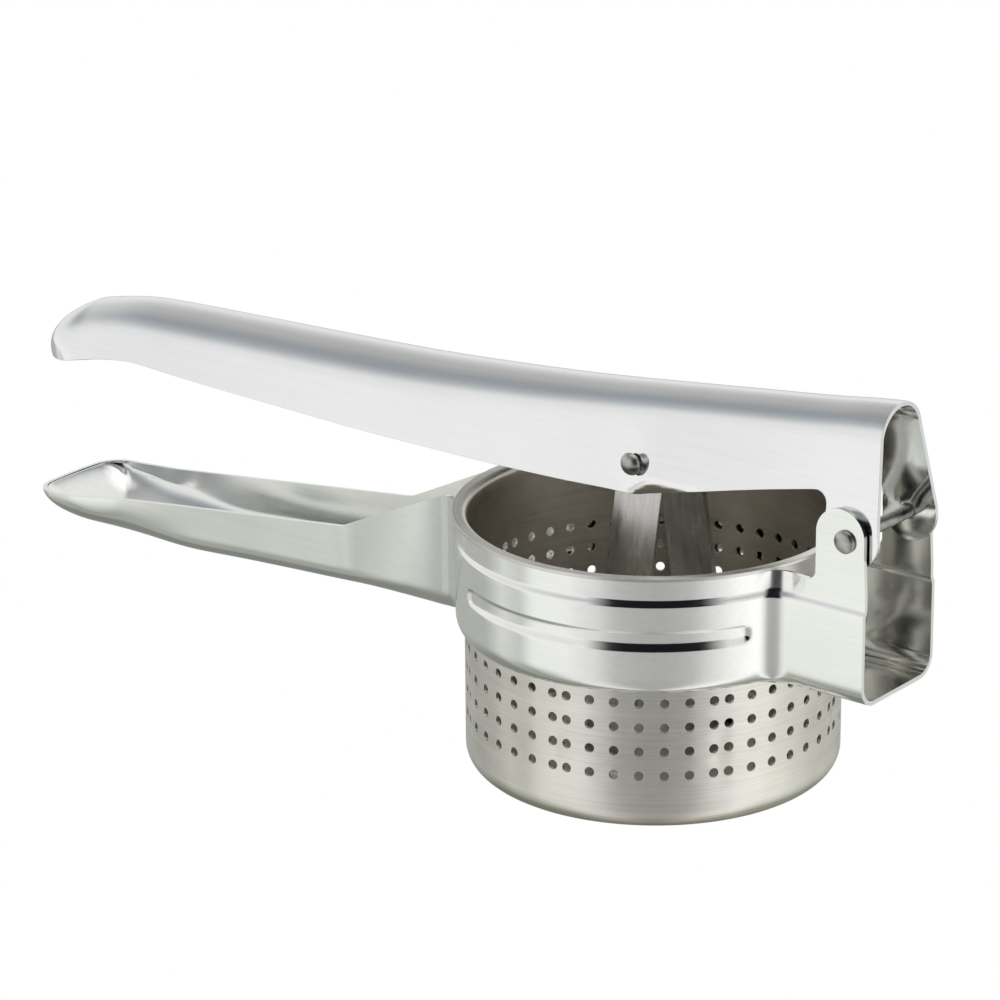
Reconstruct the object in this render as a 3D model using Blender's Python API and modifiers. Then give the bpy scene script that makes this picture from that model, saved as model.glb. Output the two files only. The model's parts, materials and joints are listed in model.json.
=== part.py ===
# Potato ricer: a perforated basket in a pressed frame, and a lever that works a press plate.
# Metres, +Z up. Origin: centre of the basket's base. +X to the hinge, -X to the grips.
from math import acos, atan2, cos, hypot, pi, radians, sin, sqrt

import bmesh
import bpy
from mathutils import Vector

# Basket
basket_radius = 0.0425
basket_height = 0.0604
basket_wall = 0.0008
basket_corner = 0.0049
rim_overhang = 0.0027
rim_thickness = 0.0010
hole_radius = 0.00108
hole_rows = 6
row_pitch = 0.00567
first_row_height = 0.0134
hole_panels = 7
panel_columns = 7
column_angle = radians(7.45)
panel_angle = radians(49.4)
front_panel_angle = radians(-58.0)
base_ring_pitch = 0.0082
base_rings = 4

# Frame: ring round the basket, grip in front, hinge bracket behind
ring_clearance = 0.0004
seat_gap = 0.0003
frame_sheet = 0.0010
band_step = 0.0006
step_drop = 0.0049
bead_depth = 0.0006
bead_height = 0.0046
bead_drop = 0.0137
bead_start = radians(25.5)
bead_end = radians(121.5)
frame_corner = 0.0050
floor_drop = 0.0279
bracket_floor_rise = 0.0008
collar_clearance = 0.0006
bracket_half_width = 0.0140
bracket_fillet = 0.0060
bracket_reach = 0.0235
grip_half_width = 0.0132
grip_end_half_width = 0.0142
grip_length = 0.1342
grip_end_corner = 0.0045
grip_fillet = 0.0120
knee_distance = 0.0358
knee_height = 0.0418
grip_end_height = 0.0312
grip_floor_height = 0.0234

# Hinge
hinge_behind_ring = 0.0161
hinge_above_rim = 0.0091
ear_radius = 0.0067
ear_foot_fillet = 0.0020
pin_radius = 0.00155
pin_clearance = 0.0003
head_radius = 0.0026
head_height = 0.0011
plunger_head_height = 0.0017
head_gap = 0.0003

# Lever
lever_sheet = 0.0010
lever_side_clearance = 0.0006
lever_crown_rear = 0.0981
lever_crown_radius_rear = 0.0080
lever_crown_radius_grip = 0.0098
lever_grip_half_width = 0.0120
lever_length = 0.2460
lever_end_corner = 0.0090
lobe_radius = 0.0070
notch_fillet = 0.0030
skirt_height = 0.0025

# Plunger
plunger_pin_ahead = 0.0575
plunger_pin_rise = 0.0050
plate_clearance = 0.0027
plate_floor_gap = 0.0010
plate_thickness = 0.0012
plate_lip = 0.0014
yoke_width = 0.0126
yoke_flat_width = 0.0060
yoke_crease = 0.0008
yoke_sheet = 0.0012
yoke_top_half_width = 0.0080
yoke_foot_half_width = 0.0212
yoke_offset = 0.0008
yoke_foot_length = 0.0060
yoke_plate_gap = 0.0003

# Sizes that follow from the ones above
upper_band_radius = basket_radius + ring_clearance + frame_sheet
lower_band_radius = upper_band_radius + band_step
ring_top = basket_height - rim_thickness - seat_gap
frame_floor = ring_top - floor_drop
hinge_x = upper_band_radius + hinge_behind_ring
hinge_z = basket_height + hinge_above_rim
bracket_end = basket_radius + bracket_reach
grip_end_x = -(lower_band_radius + grip_length)
knee_x = -(lower_band_radius + knee_distance)
plunger_x = hinge_x - plunger_pin_ahead
plunger_z = hinge_z + plunger_pin_rise
ear_outer = bracket_half_width - band_step
lever_rear_half_width = ear_outer - frame_sheet - lever_side_clearance
lever_end_x = hinge_x + lobe_radius - lever_length
plate_radius = basket_radius - basket_wall - plate_clearance
plate_bottom = basket_wall + plate_floor_gap


def reset_scene():
    for item in list(bpy.data.objects):
        bpy.data.objects.remove(item, do_unlink=True)


def make_collection(name):
    group = bpy.data.collections.new(name)
    bpy.context.scene.collection.children.link(group)
    return group


def make_material(name, color, roughness):
    material = bpy.data.materials.new(name)
    material.use_nodes = True
    shader = material.node_tree.nodes["Principled BSDF"]
    shader.inputs["Base Color"].default_value = (*color, 1.0)
    shader.inputs["Metallic"].default_value = 1.0
    shader.inputs["Roughness"].default_value = roughness
    return material


def add_object(name, bm, group, material=None, smooth=True):
    mesh = bpy.data.meshes.new(name)
    bm.to_mesh(mesh)
    bm.free()
    if smooth:
        mesh.shade_smooth()
        mesh.set_sharp_from_angle(angle=radians(35))
    item = bpy.data.objects.new(name, mesh)
    group.objects.link(item)
    if material is not None:
        mesh.materials.append(material)
    return item


def as_cutter(item):
    item.hide_render = True
    item.display_type = "WIRE"
    return item


def cut(item, cutter):
    boolean = item.modifiers.new(cutter.name, "BOOLEAN")
    boolean.operation = "DIFFERENCE"
    boolean.solver = "EXACT"
    boolean.object = cutter


def blend(table, x):
    """Smooth curve through (x, value) pairs, without overshoot."""
    if x <= table[0][0]:
        return table[0][1]
    if x >= table[-1][0]:
        return table[-1][1]
    slopes = [(b[1] - a[1]) / (b[0] - a[0]) for a, b in zip(table, table[1:])]
    tangents = [slopes[0]]
    for before, after in zip(slopes, slopes[1:]):
        same_way = before * after > 0
        tangents.append(2 * before * after / (before + after) if same_way else 0.0)
    tangents.append(slopes[-1])
    index = max(i for i, point in enumerate(table[:-1]) if point[0] <= x)
    (x0, y0), (x1, y1) = table[index], table[index + 1]
    span = x1 - x0
    t = (x - x0) / span
    return (
        y0 * (2 * t**3 - 3 * t**2 + 1)
        + y1 * (3 * t**2 - 2 * t**3)
        + tangents[index] * span * (t**3 - 2 * t**2 + t)
        + tangents[index + 1] * span * (t**3 - t**2)
    )


def ease(t):
    t = min(max(t, 0.0), 1.0)
    return t * t * (3 - 2 * t)


def arc(center, radius, start, end, count):
    step = (end - start) / count
    return [
        (center[0] + radius * cos(start + i * step), center[1] + radius * sin(start + i * step))
        for i in range(count + 1)
    ]


def turned(name, profile, steps, group, material):
    """Profile in (radius, height), down the outer side, turned about Z."""
    bm = bmesh.new()
    vertices = [bm.verts.new((r, 0.0, z)) for r, z in profile]
    for a, b in zip(vertices, vertices[1:]):
        bm.edges.new((a, b))
    item = add_object(name, bm, group, material, smooth=False)
    screw = item.modifiers.new("Turn", "SCREW")
    screw.steps = steps
    screw.render_steps = steps
    screw.use_merge_vertices = True
    screw.merge_threshold = 0.00005
    return item


def side_prism(name, outline, half_depth, group):
    """Outline in (x, z), extruded along Y to both sides."""
    curve = bpy.data.curves.new(name, "CURVE")
    curve.dimensions = "2D"
    curve.fill_mode = "BOTH"
    curve.extrude = half_depth
    spline = curve.splines.new("POLY")
    spline.points.add(len(outline) - 1)
    for point, (x, z) in zip(spline.points, outline):
        point.co = (x, z, 0.0, 1.0)
    spline.use_cyclic_u = True
    holder = bpy.data.objects.new(name + "_outline", curve)
    holder.rotation_euler.x = pi / 2
    group.objects.link(holder)
    bpy.context.view_layer.update()
    evaluated = holder.evaluated_get(bpy.context.evaluated_depsgraph_get())
    mesh = bpy.data.meshes.new_from_object(evaluated)
    bm = bmesh.new()
    bm.from_mesh(mesh)
    bmesh.ops.remove_doubles(bm, verts=bm.verts, dist=0.000001)
    bmesh.ops.recalc_face_normals(bm, faces=bm.faces)
    bm.to_mesh(mesh)
    bm.free()
    item = bpy.data.objects.new(name, mesh)
    item.matrix_world = holder.matrix_world
    group.objects.link(item)
    bpy.data.objects.remove(holder)
    return as_cutter(item)


def cross_pin_cutter(name, x, z, radius, half_length, group):
    bm = bmesh.new()
    bmesh.ops.create_cone(
        bm, cap_ends=True, segments=20, radius1=radius, radius2=radius, depth=2 * half_length
    )
    item = add_object(name, bm, group, smooth=False)
    item.location = (x, 0.0, z)
    item.rotation_euler = (pi / 2, radians(5), 0.0)
    return as_cutter(item)


def loft(name, rows, group, material, sheet):
    """Sheet through rows of points that start at the centre plane, mirrored and thickened inward."""
    bm = bmesh.new()
    grid = [[bm.verts.new(p) for p in row] for row in rows]
    for row, after in zip(grid, grid[1:]):
        for a, b, c, d in zip(row, row[1:], after[1:], after):
            bm.faces.new((a, b, c, d))
    bmesh.ops.remove_doubles(bm, verts=bm.verts, dist=0.00001)
    item = add_object(name, bm, group, material)
    mirror = item.modifiers.new("Mirror", "MIRROR")
    mirror.use_axis = (False, True, False)
    mirror.merge_threshold = 0.00002
    solidify = item.modifiers.new("Sheet", "SOLIDIFY")
    solidify.thickness = sheet
    solidify.offset = -1.0
    solidify.use_even_offset = True
    return item


# ---- basket ----

def basket_profile():
    outer = basket_radius
    inner = basket_radius - basket_wall
    rim = basket_radius + rim_overhang
    corner = basket_corner - basket_wall
    middle = basket_radius - basket_corner
    inside = arc((middle, basket_corner), corner, -pi / 2, 0.0, 3)
    outside = arc((middle, basket_corner), basket_corner, 0.0, -pi / 2, 4)
    top = [(inner, basket_height - 0.0007), (inner + 0.0006, basket_height)]
    edge = [(rim, basket_height), (rim, basket_height - rim_thickness)]
    neck = [(outer, basket_height - rim_thickness)]
    return [(0.0, basket_wall)] + inside + top + edge + neck + outside + [(0.0, 0.0)]


def hole_directions():
    """Panels of columns both ways from the front one, and one more column beside the seam."""
    middle_panel = (hole_panels - 1) / 2
    middle_column = (panel_columns - 1) / 2
    angles = []
    for panel in range(hole_panels):
        center = front_panel_angle + (panel - middle_panel) * panel_angle
        for column in range(panel_columns):
            angles.append(center + (column - middle_column) * column_angle)
    angles.append(angles[0] - column_angle)
    return angles


def add_hole(bm, center, direction, length, radius):
    matrix = direction.to_track_quat("Z", "Y").to_matrix().to_4x4()
    matrix.translation = center
    bmesh.ops.create_cone(
        bm, cap_ends=True, segments=4, radius1=radius, radius2=radius, depth=length, matrix=matrix
    )


def side_hole_cutter(group):
    bm = bmesh.new()
    for angle in hole_directions():
        direction = Vector((cos(angle), sin(angle), 0.0))
        for row in range(hole_rows):
            center = direction * basket_radius
            center.z = first_row_height + row * row_pitch
            add_hole(bm, center, direction, 6 * basket_wall, hole_radius)
    return as_cutter(add_object("side_hole_cutter", bm, group, smooth=False))


def base_hole_cutter(group):
    bm = bmesh.new()
    for ring in range(1, base_rings + 1):
        radius = ring * base_ring_pitch
        for index in range(6 * ring):
            angle = 2 * pi * index / (6 * ring)
            center = Vector((radius * cos(angle), radius * sin(angle), 0.0))
            add_hole(bm, center, Vector((0.0, 0.0, 1.0)), 6 * basket_wall, hole_radius)
    return as_cutter(add_object("base_hole_cutter", bm, group, smooth=False))


def build_basket(parts, cutters):
    material = make_material("basket_steel", (0.60, 0.59, 0.57), 0.32)
    item = turned("basket", basket_profile(), 45, parts, material)
    for cutter in (side_hole_cutter(cutters), base_hole_cutter(cutters)):
        cut(item, cutter)
    return item


# ---- frame ----

def half_width_front(x):
    """Outer half width of the grip and its flare, in front of the ring's fillet."""
    run = -lower_band_radius
    width = grip_half_width
    return blend(
        [
            (grip_end_x, grip_end_half_width),
            (grip_end_x + 0.008, grip_end_half_width),
            (grip_end_x + 0.024, width + 0.0002),
            (grip_end_x + 0.050, width),
            (knee_x, width),
            (run - 0.0265, width + 0.0007),
            (run - 0.0165, width + 0.0020),
            (run - 0.0065, width + 0.0040),
            (run + 0.0005, width + 0.0062),
        ],
        x,
    )


def front_outline():
    """Plan of the grip's side, from the middle of its blunt end to the flare."""
    corner = (grip_end_x + grip_end_corner, grip_end_half_width - grip_end_corner)
    points = [(grip_end_x - 0.0006, 0.0), (grip_end_x - 0.0004, corner[1] * 0.6)]
    points += arc(corner, grip_end_corner, pi, pi / 2, 5)
    start = grip_end_x + grip_end_corner + 0.004
    end = -lower_band_radius - 0.0010
    count = 16
    for i in range(count + 1):
        x = start + (end - start) * i / count
        points.append((x, half_width_front(x)))
    return points


def ring_outline():
    """Plan of the flare's fillet, the ring and the bracket's fillet."""
    front = lower_band_radius + grip_fillet
    lean = radians(33)
    center = (-front * cos(lean), front * sin(lean))
    points = arc(center, grip_fillet, radians(-72), -lean, 4)
    back = lower_band_radius + bracket_fillet
    rise = bracket_half_width + bracket_fillet
    run = sqrt(back**2 - rise**2)
    turn = atan2(rise, run)
    points += arc((0.0, 0.0), lower_band_radius, pi - lean, turn, 20)[1:]
    points += arc((run, rise), bracket_fillet, pi + turn, 1.5 * pi, 4)[1:]
    points += [
        (run + (bracket_end - run) * t, bracket_half_width) for t in (0.35, 0.7, 1.0)
    ]
    return points


def plan_normals(points):
    normals = []
    for i in range(len(points)):
        a = points[max(i - 1, 0)]
        b = points[min(i + 1, len(points) - 1)]
        dx, dy = b[0] - a[0], b[1] - a[1]
        size = hypot(dx, dy)
        normals.append((-dy / size, dx / size))
    normals[0] = (-1.0, 0.0)
    normals[-1] = (0.0, 1.0)
    return normals


def frame_top(x):
    """Height of the frame's top edge along the grip, before the ring."""
    ring_edge = -(upper_band_radius + 0.0006)
    if x >= knee_x:
        share = (x - knee_x) / (ring_edge - knee_x)
        return knee_height + (ring_top - knee_height) * share
    points = [
        (grip_end_x - 0.001, grip_end_height),
        (grip_end_x + 0.009, grip_end_height + 0.0001),
        (grip_end_x + 0.030, grip_end_height + 0.0023),
        (grip_end_x + 0.062, grip_end_height + 0.0062),
        (knee_x - 0.0003, knee_height),
    ]
    return blend(points, x)


def frame_bottom(x):
    ring_front = -lower_band_radius
    return blend(
        [
            (grip_end_x, grip_floor_height + 0.0046),
            (grip_end_x + 0.0045, grip_floor_height + 0.0030),
            (grip_end_x + 0.0080, grip_floor_height + 0.0019),
            (grip_end_x + 0.0120, grip_floor_height + 0.0012),
            (grip_end_x + 0.0170, grip_floor_height + 0.0006),
            (grip_end_x + 0.0240, grip_floor_height + 0.0002),
            (grip_end_x + 0.0340, grip_floor_height),
            (grip_end_x + 0.0500, grip_floor_height + 0.0005),
            (grip_end_x + 0.0660, grip_floor_height + 0.0013),
            (grip_end_x + 0.0800, grip_floor_height + 0.0021),
            (knee_x, grip_floor_height + 0.0031),
            (ring_front - 0.0200, grip_floor_height + 0.0043),
            (ring_front - 0.0050, frame_floor - 0.0017),
            (ring_front + 0.0060, frame_floor),
            (lower_band_radius, frame_floor + bracket_floor_rise),
        ],
        x,
    )


def bead_strength(x, y):
    """1 along the pressed-in bead on the ring's side, 0 past its rounded ends."""
    along = atan2(y, x) * lower_band_radius
    end = min(along - bead_start * lower_band_radius, bead_end * lower_band_radius - along)
    return ease(end / 0.0020) if hypot(x, y) < lower_band_radius + 0.0002 else 0.0


def build_frame_rows():
    plan = front_outline() + ring_outline()
    normals = plan_normals(plan)
    spine_start = grip_end_x + grip_end_corner + 0.004
    end_corner = min(frame_corner, 0.85 * grip_end_corner)
    bead_middle = ring_top - bead_drop
    step_low = ring_top - step_drop - 0.0009
    step_high = ring_top - step_drop
    rows = []
    for (x, y), (nx, ny) in zip(plan, normals):
        grown = ease((x - spine_start) / 0.020)
        corner = end_corner + (frame_corner - end_corner) * grown
        spine = spine_start if x < spine_start else x - nx * corner
        floor = frame_bottom(x - nx * corner)
        bead = -bead_strength(x, y) * bead_depth
        fade = ease((x + lower_band_radius + 0.010) / 0.012)
        foot = (x - nx * corner, y - ny * corner)
        half_way = (spine + foot[0]) / 2
        row = [(spine, 0.0, frame_bottom(spine)), (half_way, foot[1] / 2, frame_bottom(half_way))]
        for i in range(5):
            turn = pi / 2 * i / 4
            inset = corner * (1 - sin(turn))
            row.append((x - nx * inset, y - ny * inset, floor + corner * (1 - cos(turn))))
        low = floor + corner
        ring = (
            bead_middle - bead_height / 2,
            bead_middle - bead_height * 0.28,
            bead_middle + bead_height * 0.28,
            bead_middle + bead_height / 2,
            step_low,
            step_high,
            ring_top + 0.0020,
        )
        top = min(frame_top(x) + 0.0015, ring_top + 0.0020)
        share = (top - low) / (ring_top + 0.0020 - (frame_floor + frame_corner))
        offsets = (0.0, bead, bead, 0.0, 0.0, -band_step * fade, -band_step * fade)
        for z, offset in zip(ring, offsets):
            level = low + (z - frame_floor - frame_corner) * share
            row.append((x + nx * offset, y + ny * offset, level))
        if x > upper_band_radius - 0.0004:
            rows_up = hinge_z + ear_radius + 0.0015
            row[-1] = (row[-1][0], row[-1][1], rows_up)
        rows.append([(px, -py, pz) for px, py, pz in row])
    return rows


def frame_trim_outline():
    """Side view of what is trimmed off the pressing: all above the top edge and round the ears."""
    high = hinge_z + ear_radius + 0.010
    lean = 0.0008
    ear_x = hinge_x - lean
    front = ear_x - ear_radius
    outline = [(grip_end_x - 0.010, high), (grip_end_x - 0.010, frame_top(grip_end_x))]
    count = 24
    for i in range(count + 1):
        x = grip_end_x + (knee_x - grip_end_x) * i / count
        outline.append((x, frame_top(x)))
    outline.append((-(upper_band_radius + 0.0006), ring_top))
    outline += arc(
        (front - ear_foot_fillet, ring_top + ear_foot_fillet), ear_foot_fillet, -pi / 2, 0.0, 4
    )
    outline += arc((ear_x, hinge_z + 0.0002), ear_radius, pi, 0.0, 14)
    outline += [
        (ear_x + ear_radius, hinge_z - 0.003),
        (bracket_end, hinge_z - 0.012),
        (bracket_end + 0.010, hinge_z - 0.012),
        (bracket_end + 0.010, high),
    ]
    return outline


def ring_hole_cutter(group):
    bm = bmesh.new()
    radius = basket_radius + collar_clearance
    bmesh.ops.create_cone(
        bm, cap_ends=True, segments=64, radius1=radius, radius2=radius, depth=0.016
    )
    item = add_object("ring_hole_cutter", bm, group, smooth=False)
    item.location.z = frame_floor
    return as_cutter(item)


def build_frame(parts, cutters):
    material = make_material("frame_chrome", (0.78, 0.79, 0.80), 0.12)
    rows = build_frame_rows()
    rows.reverse()
    item = loft("lower_frame", rows, parts, material, frame_sheet)
    cut(item, side_prism("frame_trim", frame_trim_outline(), 0.060, cutters))
    cut(item, ring_hole_cutter(cutters))
    hole = pin_radius + pin_clearance
    cut(item, cross_pin_cutter("ear_hole_cutter", hinge_x, hinge_z, hole, 0.030, cutters))
    return item


# ---- lever ----

def lever_crown(x):
    """Height of the lever's top line."""
    back = hinge_x
    return blend(
        [
            (lever_end_x, lever_crown_rear - 0.0251),
            (lever_end_x + 0.0040, lever_crown_rear - 0.0235),
            (lever_end_x + 0.0080, lever_crown_rear - 0.0219),
            (lever_end_x + 0.0150, lever_crown_rear - 0.0197),
            (lever_end_x + 0.0215, lever_crown_rear - 0.0180),
            (lever_end_x + 0.0280, lever_crown_rear - 0.0170),
            (lever_end_x + 0.0360, lever_crown_rear - 0.0165),
            (lever_end_x + 0.0540, lever_crown_rear - 0.0158),
            (lever_end_x + 0.0910, lever_crown_rear - 0.0145),
            (lever_end_x + 0.1150, lever_crown_rear - 0.0135),
            (back - 0.1010, lever_crown_rear - 0.0119),
            (back - 0.0780, lever_crown_rear - 0.0099),
            (back - 0.0560, lever_crown_rear - 0.0074),
            (back - 0.0345, lever_crown_rear - 0.0048),
            (back - 0.0136, lever_crown_rear - 0.0023),
            (back + 0.0020, lever_crown_rear - 0.0001),
            (back + lobe_radius, lever_crown_rear + 0.0005),
        ],
        x,
    )


def lever_edge(x):
    """Height of the lever's lower edge, from its end to the notch."""
    return blend(
        [
            (lever_end_x - 0.0010, plunger_z - 0.0125),
            (lever_end_x + 0.0030, plunger_z - 0.0122),
            (lever_end_x + 0.0080, plunger_z - 0.0109),
            (lever_end_x + 0.0137, plunger_z - 0.0092),
            (lever_end_x + 0.0198, plunger_z - 0.0076),
            (lever_end_x + 0.0264, plunger_z - 0.0066),
            (lever_end_x + 0.0324, plunger_z - 0.0061),
            (lever_end_x + 0.0393, plunger_z - 0.0064),
            (lever_end_x + 0.0510, plunger_z - 0.0069),
            (lever_end_x + 0.0800, plunger_z - 0.0077),
            (lever_end_x + 0.1075, plunger_z - 0.0083),
            (lever_end_x + 0.1344, plunger_z - 0.00835),
            (plunger_x - 0.0225, plunger_z - 0.0079),
            (plunger_x - 0.0085, plunger_z - 0.0073),
            (plunger_x - 0.0007, plunger_z - 0.0070),
            (plunger_x + 0.0051, plunger_z - 0.0057),
            (plunger_x + 0.0205, plunger_z - 0.0020),
            (plunger_x + 0.0335, plunger_z + 0.0010),
            (plunger_x + 0.0470, plunger_z + 0.0039),
        ],
        x,
    )


def lever_half_width(x):
    return blend(
        [
            (lever_end_x + 0.015, lever_grip_half_width - 0.0004),
            (lever_end_x + 0.060, lever_grip_half_width),
            (plunger_x - 0.0300, lever_grip_half_width + 0.0002),
            (hinge_x - 0.0200, lever_rear_half_width),
        ],
        x,
    )


def lever_outline():
    corner = (lever_end_x + lever_end_corner, lever_grip_half_width - 0.0004 - lever_end_corner)
    points = [(lever_end_x, 0.0)] + arc(corner, lever_end_corner, pi, pi / 2, 7)
    start = lever_end_x + lever_end_corner + 0.005
    end = hinge_x + lobe_radius + 0.0002
    count = 30
    for i in range(count + 1):
        x = start + (end - start) * i / count
        points.append((x, lever_half_width(x)))
    return points


def lever_section(width, depth, radius, skirt):
    """Crown arc, drafted wall, upright skirt: (out, down) from the crown's top, and share."""
    down = depth - skirt - radius
    reach = hypot(width, down)
    tangent = acos(radius / reach) + atan2(-down, width)
    section = []
    for i in range(6):
        turn = pi / 2 + (tangent - pi / 2) * i / 5
        section.append((radius * cos(turn), radius - radius * sin(turn)))
    last = section[-1]
    section.append(((last[0] + width) / 2, (last[1] + depth - skirt) / 2))
    section.append((width, depth - skirt))
    section.append((width, depth))
    return section


def build_lever_rows():
    spine_start = lever_end_x + lever_end_corner + 0.005
    low_rear = hinge_z - lobe_radius - 0.001
    rows = []
    for x, y in lever_outline():
        spine = (max(x, spine_start), 0.0)
        out = (x - spine[0], y - spine[1])
        blend_rear = ease((x - plunger_x + 0.004) / 0.008)
        low = (lever_edge(x) - 0.0015) * (1 - blend_rear) + low_rear * blend_rear
        bend = (hinge_z + skirt_height) * blend_rear + (low + 0.0005) * (1 - blend_rear)
        mix = ease((x - lever_end_x - 0.090) / 0.110)
        radius = lever_crown_radius_grip * (1 - mix) + lever_crown_radius_rear * mix
        width = max(y, lever_grip_half_width - 0.0004) if x < spine_start else y
        radius = min(radius, 0.94 * width)
        crown_here = lever_crown(x)
        section = lever_section(width, crown_here - low, radius, bend - low)
        row = []
        for across, down in section:
            share = across / width
            px = spine[0] + out[0] * share
            py = spine[1] + out[1] * share
            fall = down / (crown_here - low)
            crown = lever_crown(px)
            row.append((px, -py, crown - (crown - low) * fall))
        rows.append(row)
    return rows


def lever_trim_outline():
    """Side view of what is trimmed off below the lever's edge and behind its rear edge."""
    low = hinge_z - lobe_radius - 0.010
    front = lever_end_x - 0.010
    rear_front = hinge_x + 0.0003 - lobe_radius
    top_x = hinge_x + 0.0046
    notch_top = lever_edge(rear_front - notch_fillet)
    outline = [(front, low), (front, lever_edge(lever_end_x))]
    count = 56
    end = rear_front - notch_fillet
    for i in range(count + 1):
        x = lever_end_x + (end - lever_end_x) * i / count
        outline.append((x, lever_edge(x)))
    outline += arc((end, notch_top - notch_fillet), notch_fillet, pi / 2, 0.0, 4)[1:]
    outline += arc((hinge_x + 0.0003, hinge_z + 0.0003), lobe_radius, pi, 2 * pi, 14)
    outline += [
        (top_x, lever_crown_rear + 0.0030),
        (hinge_x + 0.030, lever_crown_rear + 0.0030),
        (hinge_x + 0.030, low),
    ]
    return outline


def build_lever(parts, cutters):
    material = make_material("lever_chrome", (0.80, 0.81, 0.82), 0.10)
    item = loft("upper_handle", build_lever_rows(), parts, material, lever_sheet)
    cut(item, side_prism("lever_trim", lever_trim_outline(), 0.040, cutters))
    hole = pin_radius + pin_clearance
    cut(item, cross_pin_cutter("lobe_hole_cutter", hinge_x, hinge_z, hole, 0.030, cutters))
    cut(
        item,
        cross_pin_cutter("plunger_hole_cutter", plunger_x, plunger_z, hole, 0.030, cutters),
    )
    return item


# ---- rivets ----

def build_rivet(name, x, z, half_grip, dome_height, parts, material):
    """Cross pin with a domed head at each end; half_grip is to the underside of a head."""
    dome = [
        (head_radius * sin(pi / 2 * i / 5), half_grip + dome_height * cos(pi / 2 * i / 5))
        for i in range(6)
    ]
    upper = dome + [(head_radius, half_grip), (pin_radius, half_grip)]
    del upper[-3]
    lower = [(r, -h) for r, h in reversed(upper)]
    item = turned(name, upper + lower, 18, parts, material)
    item.rotation_euler.x = pi / 2
    item.location = (x, 0.0, z)
    return item


# ---- plunger ----

def yoke_path():
    """Half of the strip's outer line in (y, z) and its normal, from the top to the foot's end."""
    top = plunger_z + 0.0050
    bend = yoke_top_half_width
    foot = plate_bottom + plate_thickness + yoke_plate_gap + yoke_sheet
    points = arc((0.0, top - bend), bend, pi / 2, radians(12), 6)
    points.append((yoke_foot_half_width, foot + 0.0012))
    points.append((yoke_foot_half_width + 0.0010, foot))
    points.append((yoke_foot_half_width + yoke_foot_length, foot))
    return points


def build_yoke(parts, cutters):
    """Bent strip whose long edges turn in a little from a flat middle, flat again at the foot."""
    material = make_material("yoke_steel", (0.58, 0.57, 0.55), 0.28)
    bm = bmesh.new()
    across = (
        (yoke_width / 2, yoke_crease),
        (yoke_flat_width / 2, 0.0),
        (-yoke_flat_width / 2, 0.0),
        (-yoke_width / 2, yoke_crease),
    )
    path = yoke_path()
    lines = []
    for index, (y, z) in enumerate(path):
        on_leg = 0.0 if index >= len(path) - 3 else 1.0
        turn = pi / 2 - (pi / 2 - radians(12)) * min(index, 6) / 6
        lines.append(
            [
                bm.verts.new((x, -y + crease * on_leg * cos(turn), z - crease * on_leg * sin(turn)))
                for x, crease in across
            ]
        )
    for row, after in zip(lines, lines[1:]):
        for a, b, c, d in zip(row, row[1:], after[1:], after):
            bm.faces.new((a, b, c, d))
    item = add_object("plunger_yoke", bm, parts, material)
    item.location.x = plunger_x - yoke_offset
    mirror = item.modifiers.new("Mirror", "MIRROR")
    mirror.use_axis = (False, True, False)
    mirror.merge_threshold = 0.00002
    solidify = item.modifiers.new("Sheet", "SOLIDIFY")
    solidify.thickness = yoke_sheet
    solidify.offset = -1.0
    solidify.use_even_offset = True
    hole = pin_radius + pin_clearance
    cut(item, cross_pin_cutter("yoke_hole_cutter", plunger_x, plunger_z, hole, 0.030, cutters))
    return item


def build_plate(parts):
    material = make_material("plate_steel", (0.60, 0.59, 0.57), 0.30)
    inner = plate_radius - plate_thickness
    profile = [
        (0.0, plate_bottom + plate_thickness),
        (inner, plate_bottom + plate_thickness),
        (inner, plate_bottom + plate_thickness + plate_lip),
        (plate_radius, plate_bottom + plate_thickness + plate_lip),
        (plate_radius, plate_bottom + 0.0004),
        (plate_radius - 0.0004, plate_bottom),
        (0.0, plate_bottom),
    ]
    return turned("press_plate", profile, 48, parts, material)


def main():
    reset_scene()
    parts = make_collection("potato_ricer")
    cutters = make_collection("cutters")
    build_basket(parts, cutters)
    build_frame(parts, cutters)
    build_lever(parts, cutters)
    steel = make_material("rivet_steel", (0.50, 0.49, 0.48), 0.35)
    pin_steel = make_material("plunger_rivet_steel", (0.46, 0.45, 0.44), 0.35)
    ear_grip = ear_outer + head_gap
    wall_grip = lever_rear_half_width + head_gap
    build_rivet("hinge_rivet", hinge_x, hinge_z, ear_grip, head_height, parts, steel)
    dome = plunger_head_height
    build_rivet("plunger_rivet", plunger_x, plunger_z, wall_grip, dome, parts, pin_steel)
    build_yoke(parts, cutters)
    build_plate(parts)


main()
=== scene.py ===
import math

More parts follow.
